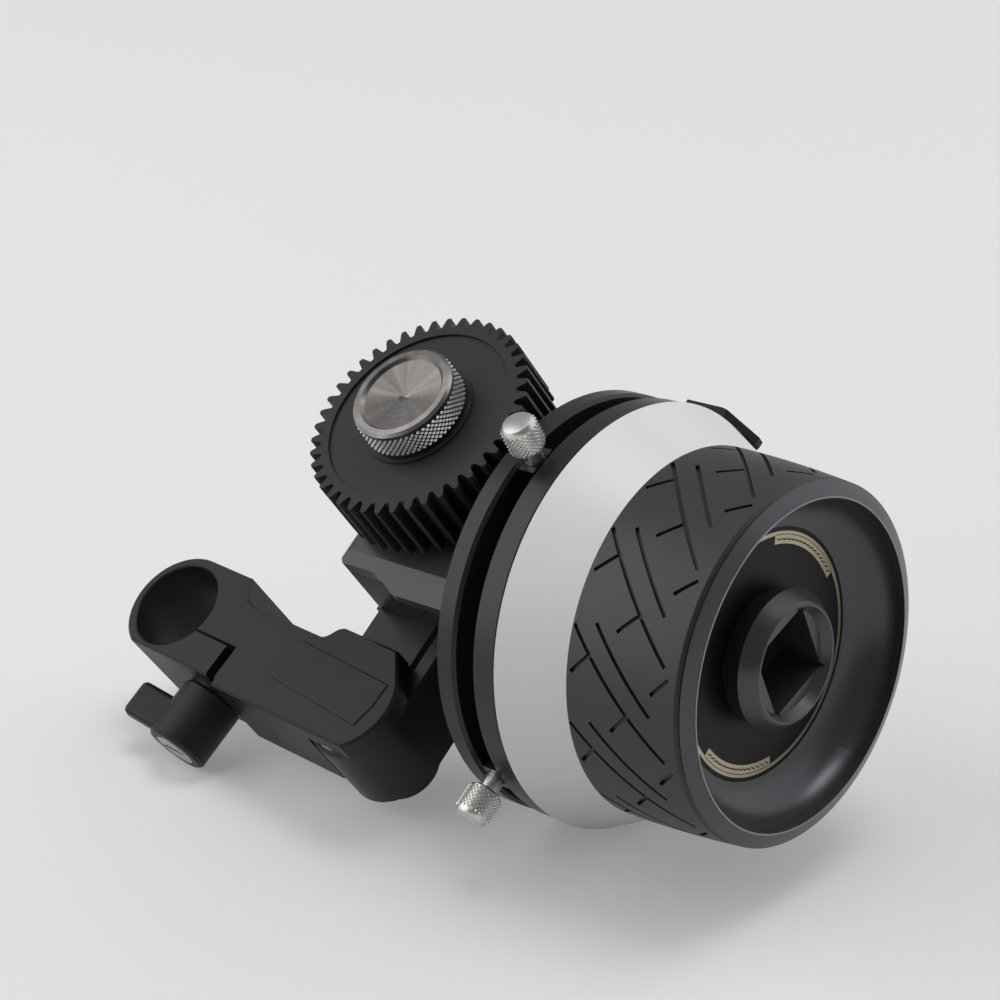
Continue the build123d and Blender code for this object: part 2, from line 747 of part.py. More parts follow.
def gear_knob():
    back = gear_front - running
    dish_r = knob_r - knob_rim
    body = turned_y((0, back), (knob_r - knob_bevel, back), (knob_r, back - knob_bevel),
                    (knob_r, knob_front + knob_bevel), (knob_r - knob_bevel, knob_front),
                    (dish_r, knob_front), (dish_r - 0.5, knob_front + 0.5),
                    (0, knob_front + 0.5 + knob_dish))
    return Pos(0, 0, drive_rise) * (body + disc_y(knob_screw_r, back, gear_front + knob_screw_length))


# -------------------------------------------------------------------- wheel
def wheel_core():
    inner = core_r - core_wall
    web = core_front - core_web
    hub_start = boss_end + clear
    bore = wheel_journal_r + fit
    body = turned_x((bearing_end, bore), (bearing_end, bearing_inner_r - 0.2),
                    (hub_start, bearing_inner_r - 0.2), (hub_start, core_hub_r), (web, core_hub_r),
                    (web, inner), (core_back, inner), (core_back, drum_r), (ring_back, drum_r),
                    (ring_back, core_r), (core_front, core_r), (core_front, socket_r + fit),
                    (socket_base, socket_r + fit), (socket_base, bore))
    for angle in ring_pin_angles:
        y, z = on_circle(drum_r + core_r, angle)
        body -= disc_x(ring_pin_r + fit, core_back + ring_pin_cover, ring_back + 1, y, z)
    for angle in rim_screw_angles:
        y, z = on_circle(rim_screw_pcd, angle)
        body -= disc_x(rim_screw_r + fit, web - 1, core_front + 1, y, z)
    return body


def ring_pins():
    pins = []
    for angle in ring_pin_angles:
        y, z = on_circle(drum_r + core_r, angle)
        pins.append(disc_x(ring_pin_r, core_back + ring_pin_cover + fit, ring_back + ring_pin_depth, y, z))
    return pins


def stop_ring():
    lo, hi = groove_r - groove_width / 2, groove_r + groove_width / 2
    body = turned_x((ring_back, core_r + fit), (ring_back, lo), (ring_back + groove_depth, lo),
                    (ring_back + groove_depth, hi), (ring_back, hi), (ring_back, stop_ring_r - 0.4),
                    (ring_back + 0.4, stop_ring_r), (ring_front - 0.2, stop_ring_r),
                    (ring_front, stop_ring_r - 0.2), (ring_front, core_r + fit))
    for angle in ring_pin_angles:
        y, z = on_circle(drum_r + core_r, angle)
        body -= disc_x(ring_pin_r + fit, ring_back - 1, ring_back + ring_pin_depth + fit, y, z)
    for i in range(magnet_count):
        y, z = on_circle(magnet_pcd, 360 * i / magnet_count)
        body -= disc_x(magnet_r + fit, ring_front - magnet_thick, ring_front + 1, y, z)
    return body


def disc_magnets():
    one = disc_x(magnet_r, ring_front - magnet_thick, ring_front)
    return [Pos(0, *on_circle(magnet_pcd, 360 * i / magnet_count)) * one for i in range(magnet_count)]


def marking_disc():
    return turned_x((ring_front, core_r + fit), (ring_front, disc_r - 0.3),
                    (ring_front + 0.3, disc_r), (disc_front, grip_back_r),
                    (disc_front, core_r + fit))


def rubber_grip():
    mid = (disc_front + grip_front) / 2
    mid_r = (grip_back_r + grip_front_r) / 2 + grip_bulge
    base = core_r + fit
    back = (disc_front, grip_back_r)
    front = (grip_front - 0.5, grip_front_r)
    curve = ThreePointArc(back, (mid, mid_r), front)
    rest = Polyline(front, (grip_front, grip_front_r - 0.5), (grip_front, base), (disc_front, base), back)
    return revolve(make_face([*curve.edges(), *rest.edges()]), Axis.X)


def front_rim():
    floor = core_front + badge_thick
    dish_mid = (floor + 2.1, badge_r + 3.9)
    dish = ThreePointArc((floor, badge_r), dish_mid, (rim_lip_x, rim_lip_r))
    lip = ThreePointArc((rim_lip_x, rim_lip_r), (rim_lip_x - 0.5, grip_front_r - 1.15),
                        (rim_back + 0.3, grip_front_r - 0.1))
    rest = Polyline((rim_back + 0.3, grip_front_r - 0.1), (rim_back, grip_front_r - 0.4), (rim_back, core_r),
                    (core_front, core_r), (core_front, badge_r), (floor, badge_r))
    body = revolve(make_face([*dish.edges(), *lip.edges(), *rest.edges()]), Axis.X)
    for angle in rim_screw_angles:
        y, z = on_circle(rim_screw_pcd, angle)
        body -= disc_x(rim_screw_r + fit, core_front - 1, core_front + rim_screw_grip + fit, y, z)
    return body


def rim_screws():
    web = core_front - core_web
    one = screw(rim_screw_r, core_web + rim_screw_grip, rim_screw_head_r, rim_screw_head_h)
    return [pointing_minus_x(web, *on_circle(rim_screw_pcd, a)) * one for a in rim_screw_angles]


def badge_disc():
    return slab_x(Circle(badge_r - fit) - Circle(socket_r + fit), core_front, core_front + badge_thick)


def drive_socket():
    face = core_front + badge_thick
    body = turned_x((socket_base, 0), (socket_base, socket_r), (face, socket_r),
                    (socket_collar_x, socket_collar_r), (socket_front - 0.3, socket_front_r),
                    (socket_front, socket_front_r - 0.3), (socket_front, 0))
    square = Rot(0, 0, socket_turn) * Rectangle(socket_square, socket_square)
    body -= slab_x(square, socket_floor, socket_front + 1)
    body -= turned_x((socket_front - 1.4, 0), (socket_front - 1.4, socket_mouth_r - 0.9),
                     (socket_front + 0.2, socket_mouth_r + 0.15), (socket_front + 0.2, 0))
    body -= disc_x(hub_screw_head_r + fit, socket_floor - hub_screw_head_h, socket_floor + 1)
    return body - disc_x(hub_screw_r + fit, socket_base - 1, socket_floor)


def hub_screw():
    seat = socket_floor - hub_screw_head_h
    length = seat - socket_base + hub_screw_length
    return pointing_x(seat) * screw(hub_screw_r, length, hub_screw_head_r, hub_screw_head_h)


# -------------------------------------------------------------------- stops
def stop_block():
    # drawn at the top of the wheel, sliding along the slot
    x0, x1 = flange_front + clear + 0.1, ring_back - clear
    low = drum_r + clear
    body = Pos((x0 + x1) / 2, 0) * Rectangle(x1 - x0, stop_width)
    body = slab_z(body, low, stop_outer_r)
    # foot that reaches into the stop ring's groove
    foot_tip = ring_back + groove_depth - clear
    foot = Pos((x1 + foot_tip) / 2, 0) * Rectangle(foot_tip - x1, stop_width * 0.7)
    foot_low = groove_r - groove_width / 2 + clear
    foot_high = groove_r + groove_width / 2 - clear
    sag = foot_high - sqrt(foot_high ** 2 - (stop_width * 0.35) ** 2)
    body += slab_z(foot, foot_low + sag, foot_high)
    hole = Pos(stop_x, 0) * Circle(stop_screw_r + running)
    return body - slab_z(hole, low - 1, stop_outer_r + 1)


def stop_screw():
    low = drum_r + clear + 0.2
    top = stop_head_start + stop_head_height
    return Pos(stop_x, 0, 0) * turned_z(
        (0, low), (stop_screw_r, low), (stop_screw_r, stop_head_start),
        (stop_head_r - 0.3, stop_head_start),
        (stop_head_r, stop_head_start + 0.3), (stop_head_r, top - 0.6), (stop_head_r - 0.6, top),
        (0, top))


# ------------------------------------------------------------------- output
nodes = {
    "clamp_arm": arm_frame * clamp_arm(),
    "clamp_lever": arm_frame * Pos(lever_x, 0, 0) * clamp_lever(),
    "clamp_screw": arm_frame * Pos(lever_x, 0, 0) * clamp_screw(),
    "clamp_washer": arm_frame * Pos(lever_x, 0, 0) * clamp_washer(),
    "lever_end_screw": arm_frame * Pos(lever_x, 0, 0) * lever_end_screw(),
    "pivot_bolt": box_frame * pivot_at * pivot_bolt(),
    "pivot_washer": box_frame * pivot_at * pivot_washer(),
    "pivot_end_washer": box_frame * pivot_at * pivot_end_washer(),
    "pivot_bush": box_frame * pivot_at * pivot_bush(),
}

box_pieces = {
    "housing_body": housing_body,
    "front_cover": front_cover,
    "stop_flange": stop_flange,
    "index_pointer": index_pointer,
    "shaft_bush": shaft_bush,
    "drive_bush_rear": drive_bush_rear,
    "drive_bush_front": drive_bush_front,
    "bearing_outer_ring": bearing_outer_ring,
    "bearing_inner_ring": bearing_inner_ring,
    "bearing_snap_ring": bearing_snap_ring,
    "wheel_shaft": wheel_shaft,
    "crown_gear": crown_gear,
    "crown_gear_pin": crown_gear_pin,
    "drive_pinion": drive_pinion,
    "pinion_pin": pinion_pin,
    "drive_shaft": drive_shaft,
    "drive_gear": drive_gear,
    "gear_pin": gear_pin,
    "gear_knob": gear_knob,
    "wheel_core": wheel_core,
    "stop_ring": stop_ring,
    "marking_disc": marking_disc,
    "rubber_grip": rubber_grip,
    "front_rim": front_rim,
    "badge_disc": badge_disc,
    "drive_socket": drive_socket,
    "hub_screw": hub_screw,
}
for name, make in box_pieces.items():
    nodes[name] = box_frame * make()

repeated = {
    "cover_screws": cover_screws,
    "flange_screws": flange_screws,
    "pointer_screws": pointer_screws,
    "ring_pins": ring_pins,
    "disc_magnets": disc_magnets,
    "rim_screws": rim_screws,
}
for name, make in repeated.items():
    nodes[name] = Compound([(box_frame * piece).solid() for piece in make()])

for name, angle in stop_angles.items():
    turn = Rot(angle - 90, 0, 0)
    nodes[name + "_block"] = box_frame * turn * stop_block()
    nodes[name + "_screw"] = box_frame * turn * stop_screw()

os.makedirs("parts", exist_ok=True)
for name, shape in nodes.items():
    export_step(shape, "parts/" + name + ".step")
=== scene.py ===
import json
from math import atan2, cos, hypot, pi, radians, sin

import bpy
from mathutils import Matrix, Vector


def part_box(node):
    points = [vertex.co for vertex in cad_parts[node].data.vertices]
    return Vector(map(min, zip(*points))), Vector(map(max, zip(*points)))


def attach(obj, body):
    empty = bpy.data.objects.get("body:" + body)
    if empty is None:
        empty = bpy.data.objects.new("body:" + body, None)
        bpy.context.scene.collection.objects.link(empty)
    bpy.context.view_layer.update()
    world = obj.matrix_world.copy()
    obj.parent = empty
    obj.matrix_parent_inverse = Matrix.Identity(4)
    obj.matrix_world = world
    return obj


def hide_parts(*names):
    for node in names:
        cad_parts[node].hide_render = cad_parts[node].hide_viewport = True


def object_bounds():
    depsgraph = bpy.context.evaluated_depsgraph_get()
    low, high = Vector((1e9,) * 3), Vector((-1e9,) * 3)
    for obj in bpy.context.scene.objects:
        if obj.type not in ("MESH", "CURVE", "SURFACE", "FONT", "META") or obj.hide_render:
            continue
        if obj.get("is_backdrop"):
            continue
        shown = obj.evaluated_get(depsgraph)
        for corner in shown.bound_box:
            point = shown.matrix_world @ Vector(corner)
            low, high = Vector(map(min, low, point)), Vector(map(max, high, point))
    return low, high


# Looks for the follow focus unit. Metres, in the frame of the solids:
# the rod runs along Y, the wheel's axis along X, Z is up.

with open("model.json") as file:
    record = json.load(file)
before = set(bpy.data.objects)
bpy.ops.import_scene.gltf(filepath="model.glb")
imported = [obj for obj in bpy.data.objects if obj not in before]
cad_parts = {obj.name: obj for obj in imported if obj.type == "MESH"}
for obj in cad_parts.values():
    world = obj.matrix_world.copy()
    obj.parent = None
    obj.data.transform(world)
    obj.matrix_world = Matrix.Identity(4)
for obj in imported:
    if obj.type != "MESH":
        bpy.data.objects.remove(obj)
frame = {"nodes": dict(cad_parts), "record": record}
solid_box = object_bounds()

MM = 0.001


# --------------------------------------------------------------- where things lie
def middle(node):
    low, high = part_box(node)
    return (low + high) / 2


wheel_axis = middle("marking_disc")          # its Y and Z are the wheel axis's
gear_axis = middle("drive_gear")             # its X and Z are the lens gear axis's
wheel_at = (0, wheel_axis.y, wheel_axis.z)
gear_at = (gear_axis.x, 0, gear_axis.z)
unit_middle = Vector((50 * MM, 0, 20 * MM))


def about_wheel(point):
    """Turn round the wheel's axis, in degrees from +Y towards +Z, and distance from the axis."""
    y, z = point.y - wheel_axis.y, point.z - wheel_axis.z
    return atan2(z, y) * 180 / pi % 360, hypot(y, z)


def on_wheel(x, turn, radius):
    """The point at x along the wheel's axis, turned by turn radians, radius from the axis."""
    return x, wheel_axis.y + radius * cos(turn), wheel_axis.z + radius * sin(turn)


# ------------------------------------------------------------------ camera, floor
def nothing_selected():
    if bpy.context.mode != "OBJECT":
        bpy.ops.object.mode_set(mode="OBJECT")
    bpy.ops.object.select_all(action="DESELECT")


def facing(way):
    """The turn that lays an object's Z axis along way."""
    return Vector(way).to_track_quat("Z", "Y").to_euler()


def make_camera():
    data = bpy.data.cameras.new("camera")
    data.sensor_fit = "HORIZONTAL"
    data.sensor_width = 36.0
    data.lens = 97.844
    data.clip_start = 0.01
    data.clip_end = 10.0
    camera = bpy.data.objects.new("camera", data)
    bpy.context.scene.collection.objects.link(camera)
    camera.location = (0.313484, -0.290934, -0.105997)
    camera.rotation_euler = [radians(turn) for turn in (113.2129, -31.1776, 30.8119)]
    bpy.context.scene.camera = camera
    bpy.context.scene.view_settings.view_transform = "Standard"


# The unit lies on its side and rests on the lever and the wheel.
floor_up = Vector((0.086, -0.817, 0.570)).normalized()
floor_radius = 3.0
floor_tone = 0.79       # as the camera sees it
floor_bounce = 0.5      # as it throws light back at the unit
floor_lift = 0.27       # share of even glow that lifts the shadows
floor_glow = 0.745


def make_floor():
    """A wide disc under the unit's lowest point."""
    nothing_selected()
    lowest = min(vertex.co.dot(floor_up) for node in frame["nodes"].values()
                 for vertex in node.data.vertices)
    under = Vector((unit_middle.x, 0, 0))
    under += floor_up * (lowest - under.dot(floor_up))
    bpy.ops.mesh.primitive_circle_add(vertices=64, radius=floor_radius, fill_type="NGON",
                                      location=under, rotation=facing(floor_up))
    floor = bpy.context.object
    floor.name = "floor"
    floor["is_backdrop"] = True
    return floor


# ----------------------------------------------------------------------- finishes
class Field:
    """A number or colour that varies over a surface. Arithmetic on it adds Math nodes."""

    def __init__(self, finish, socket):
        self.finish = finish
        self.socket = socket

    def math(self, operation, *values):
        return self.finish.math(operation, *values)

    def __add__(self, other):
        return self.math("ADD", self, other)

    def __radd__(self, other):
        return self.math("ADD", other, self)

    def __sub__(self, other):
        return self.math("SUBTRACT", self, other)

    def __rsub__(self, other):
        return self.math("SUBTRACT", other, self)

    def __mul__(self, other):
        return self.math("MULTIPLY", self, other)

    def __rmul__(self, other):
        return self.math("MULTIPLY", other, self)

    def __pow__(self, other):
        return self.math("POWER", self, other)

    def sine(self):
        return self.math("SINE", self)

    def limited(self):
        """Held between 0 and 1."""
        return self.math("MINIMUM", self.math("MAXIMUM", self, 0.0), 1.0)


class Finish:
    """The nodes of a material or of the room: node() makes each one, end() closes it."""

    def __init__(self, owner):
        owner.use_nodes = True
        self.tree = owner.node_tree
        self.tree.nodes.clear()

    def node(self, kind, settings, sockets, out=0):
        """One node with its settings, and its inputs by place or by name."""
        made = self.tree.nodes.new(kind)
        for name, value in settings.items():
            setattr(made, name, value)
        for key, value in sockets.items():
            if isinstance(value, Field):
                self.tree.links.new(value.socket, made.inputs[key])
            else:
                made.inputs[key].default_value = value
        return Field(self, made.outputs[out])

    def math(self, operation, *values):
        return self.node("ShaderNodeMath", {"operation": operation}, dict(enumerate(values)))

    def vector(self, x, y, z):
        return self.node("ShaderNodeCombineXYZ", {}, {"X": x, "Y": y, "Z": z})

    def split(self, vector):
        apart = self.node("ShaderNodeSeparateXYZ", {}, {"Vector": vector})
        return [Field(self, socket) for socket in apart.socket.node.outputs]

    def place(self, centre=(0, 0, 0)):
        """Object coordinates, counted from centre."""
        here = self.node("ShaderNodeTexCoord", {}, {}, out="Object")
        return self.node("ShaderNodeMapping", {},
                         {"Vector": here, "Location": [-value for value in centre]})

    def noise(self, vector, size, detail=3.0, rough=0.5):
        """Grains of about this size, 0 to 1."""
        return self.node("ShaderNodeTexNoise", {}, {
            "Vector": vector, "Scale": 1.0 / size, "Detail": detail, "Roughness": rough})

    def between(self, share, dark, light):
        """The colour from dark to light at this share."""
        return self.node("ShaderNodeMix", {"data_type": "RGBA"},
                         {0: share.limited(), 6: (*dark, 1.0), 7: (*light, 1.0)}, out=2)

    def bump(self, height, depth):
        return self.node("ShaderNodeBump", {},
                         {"Height": height, "Distance": depth, "Strength": 1.0})

    def end(self, shader, kind="ShaderNodeOutputMaterial"):
        output = self.tree.nodes.new(kind)
        self.tree.links.new(shader.socket, output.inputs[0])

    def surface(self, colour, roughness, metallic, normal, level=0.5):
        self.end(self.node("ShaderNodeBsdfPrincipled", {}, {
            "Base Color": colour, "Roughness": roughness, "Metallic": metallic,
            "Normal": normal, "Specular IOR Level": level}))


finishes = {}


def new_finish(name):
    finishes[name] = bpy.data.materials.new(name)
    return Finish(finishes[name])


def spread(value, by, field):
    """A value that goes from by under it to by over it as field goes from 0 to 1."""
    return value - by + 2 * by * field


def anodised(name, dark, light, roughness, level=0.3):
    """Bead-blasted, anodised aluminium: fine grain under a faint cloudiness."""
    f = new_finish(name)
    here = f.place()
    cloud = f.noise(here, 12 * MM)
    grit = f.noise(here, 0.22 * MM, 2.0, 0.6)
    colour = f.between(cloud * 0.6 + grit * 0.4, dark, light)
    f.surface(colour, spread(roughness, 0.06, cloud), 0.0, f.bump(grit, 0.012 * MM), level)


def turned(name, dark, light, axis, centre, roughness, metallic=0.0, level=0.5,
           pitch=0.28 * MM, depth=0.006 * MM, painted_sheen=0.0):
    """Metal turned on a lathe: fine rings round an axis. The last argument is how far the tone
    follows the turn round the axis as painted light: painted highlight wedges and a painted shade
    lobe, darker on one side of the turn, standing in for the sheen of a brushed face."""
    f = new_finish(name)
    across = f.split(f.place(centre))
    along = across.pop("xyz".index(axis))
    radius = (across[0] * across[0] + across[1] * across[1]) ** 0.5
    cloud = f.noise(f.place(), 10 * MM)
    ring = f.noise(f.vector(radius, along * 0.6, 0.0), pitch, 2.0, 0.6)
    tone = 0.35 * cloud + 0.65 * ring
    if painted_sheen:
        # Painted light: noise wedges round the axis are painted highlights, and the lobe is painted
        # shade, darkest on one side of the turn and lightest on the other.
        wedge_size, painted_shade_turn = 0.7, 2.42        # radians
        angle = f.math("ARCTAN2", across[0], across[1])
        painted_wedge_highlight = f.noise(f.vector(angle, 0.0, 0.0), wedge_size, 2.0, 0.6)
        painted_shade_lobe = 0.5 - 0.5 * (angle + painted_shade_turn).sine()
        painted_sheen_tone = (painted_wedge_highlight * 3.0 - 1.0).limited() * 0.45 + painted_shade_lobe * 0.55
        tone = tone * (1 - painted_sheen) + painted_sheen_tone * painted_sheen
    colour = f.between(tone, dark, light)
    f.surface(colour, spread(roughness, 0.08, ring), metallic, f.bump(ring, depth), level)


def moulded(name, dark, light, grain, roughness, level=0.4):
    """Moulded plastic or rubber with a fine skin."""
    f = new_finish(name)
    here = f.place()
    grit = f.noise(here, grain, 3.0, 0.6)
    cloud = f.noise(here, 15 * MM)
    colour = f.between(0.5 * grit + 0.5 * cloud, dark, light)
    f.surface(colour, spread(roughness, 0.05, cloud), 0.0, f.bump(grit, 0.01 * MM), level)


def metal(name, dark, light, roughness):
    """Bare or plated metal with fine drawing marks."""
    f = new_finish(name)
    here = f.place()
    grit = f.noise(here, 0.3 * MM, 3.0, 0.6)
    cloud = f.noise(here, 6 * MM, 2.0)
    colour = f.between(0.6 * grit + 0.4 * cloud, dark, light)
    f.surface(colour, spread(roughness, 0.06, grit), 1.0, f.bump(grit, 0.006 * MM))


def floor_paper():
    """Pale paper, seen a little lifted in its shadows. From below it is clear."""
    f = new_finish("floor_paper")
    rays = ("Is Camera Ray", "Is Glossy Ray", "Is Transmission Ray")
    camera, glossy, through = (f.node("ShaderNodeLightPath", {}, {}, out=ray) for ray in rays)
    seen = (camera + glossy + through).limited()
    tone = floor_bounce + (floor_tone - floor_bounce) * seen
    tone = tone + 0.01 * f.noise(f.place(), 4 * MM, 2.0)
    colour = f.node("ShaderNodeCombineColor", {}, {0: tone, 1: tone, 2: tone})
    paper = f.node("ShaderNodeBsdfDiffuse", {}, {"Color": colour})
    glow = f.node("ShaderNodeEmission", {}, {"Color": (floor_glow,) * 3 + (1.0,)})
    lifted = f.node("ShaderNodeMixShader", {}, {0: seen * floor_lift, 1: paper, 2: glow})
    clear = f.node("ShaderNodeBsdfTransparent", {}, {})
    below = f.node("ShaderNodeNewGeometry", {}, {}, out="Backfacing")
    f.end(f.node("ShaderNodeMixShader", {}, {0: below, 1: lifted, 2: clear}))
    return finishes["floor_paper"]


# ------------------------------------------------------------------------- light
def seen_way(right, up, back):
    """A direction given as the camera sees it."""
    turn = bpy.context.scene.camera.rotation_euler.to_matrix()
    return (turn @ Vector((right, up, back))).normalized()


def make_room(level, dim, dim_way):
    """A plain room of this level, dimmer by dim on the side that dim_way points to."""
    world = bpy.data.worlds.new("room")
    bpy.context.scene.world = world
    f = Finish(world)
    way = f.node("ShaderNodeTexCoord", {}, {}, out="Generated")
    near = f.node("ShaderNodeVectorMath", {"operation": "DOT_PRODUCT"}, {0: way, 1: dim_way},
                  out="Value")
    patch = f.node("ShaderNodeMapRange", {"interpolation_type": "SMOOTHERSTEP"},
                   {"Value": near, "From Min": 0.2, "From Max": 0.95, "To Min": 0.0, "To Max": 1.0})
    light = f.node("ShaderNodeBackground", {},
                   {"Color": (1, 1, 1, 1), "Strength": level - dim * patch})
    f.end(light, "ShaderNodeOutputWorld")


def make_lamp(name, kind, way):
    """A lamp that shines against way."""
    lamp = bpy.data.objects.new(name, bpy.data.lights.new(name, kind))
    bpy.context.scene.collection.objects.link(lamp)
    lamp.rotation_euler = facing(way)
    return lamp


def make_softbox(name, way, level, width, distance=0.9):
    """A round softbox, as bright as a room of this level."""
    lamp = make_lamp(name, "AREA", way)
    lamp.location = unit_middle + way * distance
    lamp.visible_camera = False
    lamp.data.shape = "DISK"
    lamp.data.size = width
    lamp.data.energy = level * pi * pi * (width / 2) ** 2


def make_sun(name, way, level, width):
    """An even light from afar; width is its size in degrees."""
    lamp = make_lamp(name, "SUN", way)
    lamp.data.energy = level
    lamp.data.angle = radians(width)


make_camera()
make_room(0.36, 0.18, seen_way(-0.05, 0.4, 0.9))
make_softbox("key", seen_way(-0.86, 0.42, 0.28), 1.5, 1.25)
make_softbox("side", seen_way(0.75, 0.55, -0.1), 0.66, 1.4)
make_sun("overhead", seen_way(0.12, 0.94, 0.32), 1.05, 34)
make_floor().data.materials.append(floor_paper())

anodised("arm_black", (0.007, 0.007, 0.008), (0.013, 0.013, 0.014), 0.44)
anodised("case_black", (0.009, 0.009, 0.009), (0.018, 0.018, 0.018), 0.36)
anodised("cover_black", (0.033, 0.0315, 0.03), (0.052, 0.0495, 0.0475), 0.34, 0.5)
turned("flange_black", (0.008, 0.008, 0.009), (0.017, 0.017, 0.018), "x", wheel_at, 0.33,
       level=0.36)
turned("wheel_black", (0.008, 0.008, 0.009), (0.017, 0.017, 0.018), "x", wheel_at, 0.34, level=0.4)
turned("rim_grey", (0.058, 0.062, 0.068), (0.095, 0.1, 0.11), "x", wheel_at, 0.3, 0.5)
turned("gear_black", (0.012, 0.012, 0.013), (0.022, 0.022, 0.023), "y", gear_at, 0.46, level=0.32)
turned("silver_knurl", (0.56, 0.535, 0.515), (0.8, 0.78, 0.76), "y", gear_at, 0.3, 1.0)
# The knob's dish has painted highlight wedges and a painted shade lobe in its colour.
turned("knob_dish_painted_sheen", (0.045, 0.04, 0.037), (0.42, 0.4, 0.385), "y", gear_at, 0.25, 1.0,
       pitch=0.16 * MM, depth=0.012 * MM, painted_sheen=0.75)
moulded("marking_white", (0.76, 0.76, 0.79), (0.8, 0.8, 0.83), 0.4 * MM, 0.35)
moulded("grip_rubber", (0.018, 0.017, 0.019), (0.031, 0.03, 0.032), 0.16 * MM, 0.45, 0.5)
moulded("badge_black", (0.005, 0.005, 0.005), (0.009, 0.009, 0.008), 0.3 * MM, 0.4, 0.2)
metal("steel", (0.4, 0.4, 0.41), (0.56, 0.56, 0.58), 0.3)
metal("screw_black", (0.03, 0.03, 0.032), (0.05, 0.05, 0.054), 0.38)
metal("bronze", (0.5, 0.33, 0.14), (0.65, 0.45, 0.22), 0.36)
metal("nickel", (0.6, 0.6, 0.6), (0.78, 0.78, 0.78), 0.2)
metal("stop_silver", (0.5, 0.48, 0.465), (0.74, 0.72, 0.7), 0.32)
metal("stop_dark", (0.05, 0.05, 0.052), (0.09, 0.09, 0.094), 0.3)
metal("badge_gold", (0.4, 0.36, 0.25), (0.52, 0.47, 0.34), 0.34)
metal("rim_bright", (0.2, 0.21, 0.23), (0.3, 0.31, 0.33), 0.3)

slot_of = {part["node"]: part["material_slot"] for part in frame["record"]["subparts"]}
own_finish = {"stop_a_block": "stop_dark", "stop_b_block": "stop_dark",
              "front_cover": "cover_black", "gear_knob": "knob_dish_painted_sheen", "lever_end_screw": "steel"}
for name, node in frame["nodes"].items():
    node.data.materials.clear()
    node.data.materials.append(finishes[own_finish.get(name, slot_of[name])])


# ------------------------------------------------------------------- making pieces
def to_edit(kind="VERT"):
    bpy.ops.object.mode_set(mode="EDIT")
    bpy.ops.mesh.select_mode(type=kind)


def apply_all():
    bpy.ops.object.transform_apply(location=True, rotation=True, scale=True)


def select_whole():
    bpy.ops.mesh.select_all(action="SELECT")


def set_normals():
    select_whole()
    bpy.ops.mesh.normals_make_consistent(inside=False)


def move_on(way):
    """Extrudes what is chosen and carries the new part along way."""
    bpy.ops.mesh.extrude_region_move(TRANSFORM_OT_translate={"value": way})


def pick(piece, test, kind="polygons"):
    """Selects the faces, edges or vertices of piece that pass test, in edit mode."""
    bpy.ops.mesh.select_all(action="DESELECT")
    bpy.ops.object.mode_set(mode="OBJECT")
    for item in getattr(piece.data, kind):
        item.select = bool(test(item))
    bpy.ops.object.mode_set(mode="EDIT")


def settle(piece, name, body, finish, angle=30):
    """Applies a finished piece's place, names it, gives it its finish and makes it ride."""
    if bpy.context.mode != "OBJECT":
        bpy.ops.object.mode_set(mode="OBJECT")
    apply_all()
    bpy.ops.object.shade_smooth_by_angle(angle=radians(angle))
    piece.name = name
    piece.data.materials.clear()
    piece.data.materials.append(finishes[finish])
    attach(piece, body)


def join(pieces):
    nothing_selected()
    for piece in pieces:
        piece.select_set(True)
    bpy.context.view_layer.objects.active = pieces[0]
    bpy.ops.object.join()
    return bpy.context.object


def stand(piece, foot, way):
    """Turns a piece made round Z to run along way from foot."""
    nothing_selected()
    piece.select_set(True)
    bpy.context.view_layer.objects.active = piece
    piece.location = foot
    piece.rotation_euler = facing(way)


def knurl_rows(radius, start, end, around, tall):
    """Rows of small pyramids round the Z axis, from start to end, standing tall over radius."""
    step = 2 * pi * radius / around
    rows = max(1, round((end - start) / (step * 0.5)) - 1)
    pitch = (end - start) / (rows + 1)
    foot, tip, sunk = step * 0.56, step * 0.07, tall * 0.3
    nothing_selected()
    bpy.ops.mesh.primitive_cone_add(
        vertices=4, radius1=foot, radius2=tip, depth=tall + sunk, rotation=(0, pi / 2, 0),
        location=(radius + (tall - sunk) / 2, 0, start + pitch))
    piece = bpy.context.object
    apply_all()
    to_edit()
    select_whole()
    bpy.ops.mesh.spin(steps=around, dupli=True, angle=2 * pi, center=(0, 0, 0), axis=(0, 0, 1))
    select_whole()
    bpy.ops.mesh.remove_doubles(threshold=1e-7)
    for row in range(1, rows):
        newest = start + (row - 0.5) * pitch
        pick(piece, lambda face: face.center.z > newest)
        bpy.ops.mesh.duplicate_move(TRANSFORM_OT_translate={"value": (0, 0, pitch)})
        bpy.ops.transform.rotate(value=pi / around, orient_axis="Z", center_override=(0, 0, 0))
    bpy.ops.object.mode_set(mode="OBJECT")
    return piece


def lathe(points, steps):
    """A turned body round the Z axis, from (radius, height) points in millimetres."""
    points = [(radius * MM, height * MM) for radius, height in points]
    nothing_selected()
    bpy.ops.mesh.primitive_circle_add(vertices=steps, radius=points[0][0],
                                      location=(0, 0, points[0][1]))
    piece = bpy.context.object
    apply_all()
    to_edit()
    select_whole()
    for before, (radius, height) in zip(points, points[1:]):
        grow = radius / before[0]
        move_on((0, 0, height - before[1]))
        bpy.ops.transform.resize(value=(grow, grow, 1), center_override=(0, 0, height))
    select_whole()
    bpy.ops.mesh.fill_holes(sides=steps)
    bpy.ops.mesh.normals_make_consistent(inside=False)
    bpy.ops.object.mode_set(mode="OBJECT")
    return piece


# ------------------------------------------------------------------ knob and stops
knob_low, knob_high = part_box("gear_knob")
knob_r = (knob_high.x - knob_low.x) / 2
side = knurl_rows(knob_r - 0.1 * MM, 0.85 * MM, 4.75 * MM, 56, 0.34 * MM)
stand(side, (gear_axis.x, knob_low.y, gear_axis.z), (0, 1, 0))
settle(side, "knob_knurl", "knob", "silver_knurl", 20)

head_profile = [(1.45, 25.0), (1.45, 34.0), (2.25, 34.2), (2.6, 34.5), (2.6, 38.2),
                (2.45, 38.7), (2.1, 39.1), (1.3, 39.3)]
head_end = 38.5 * MM


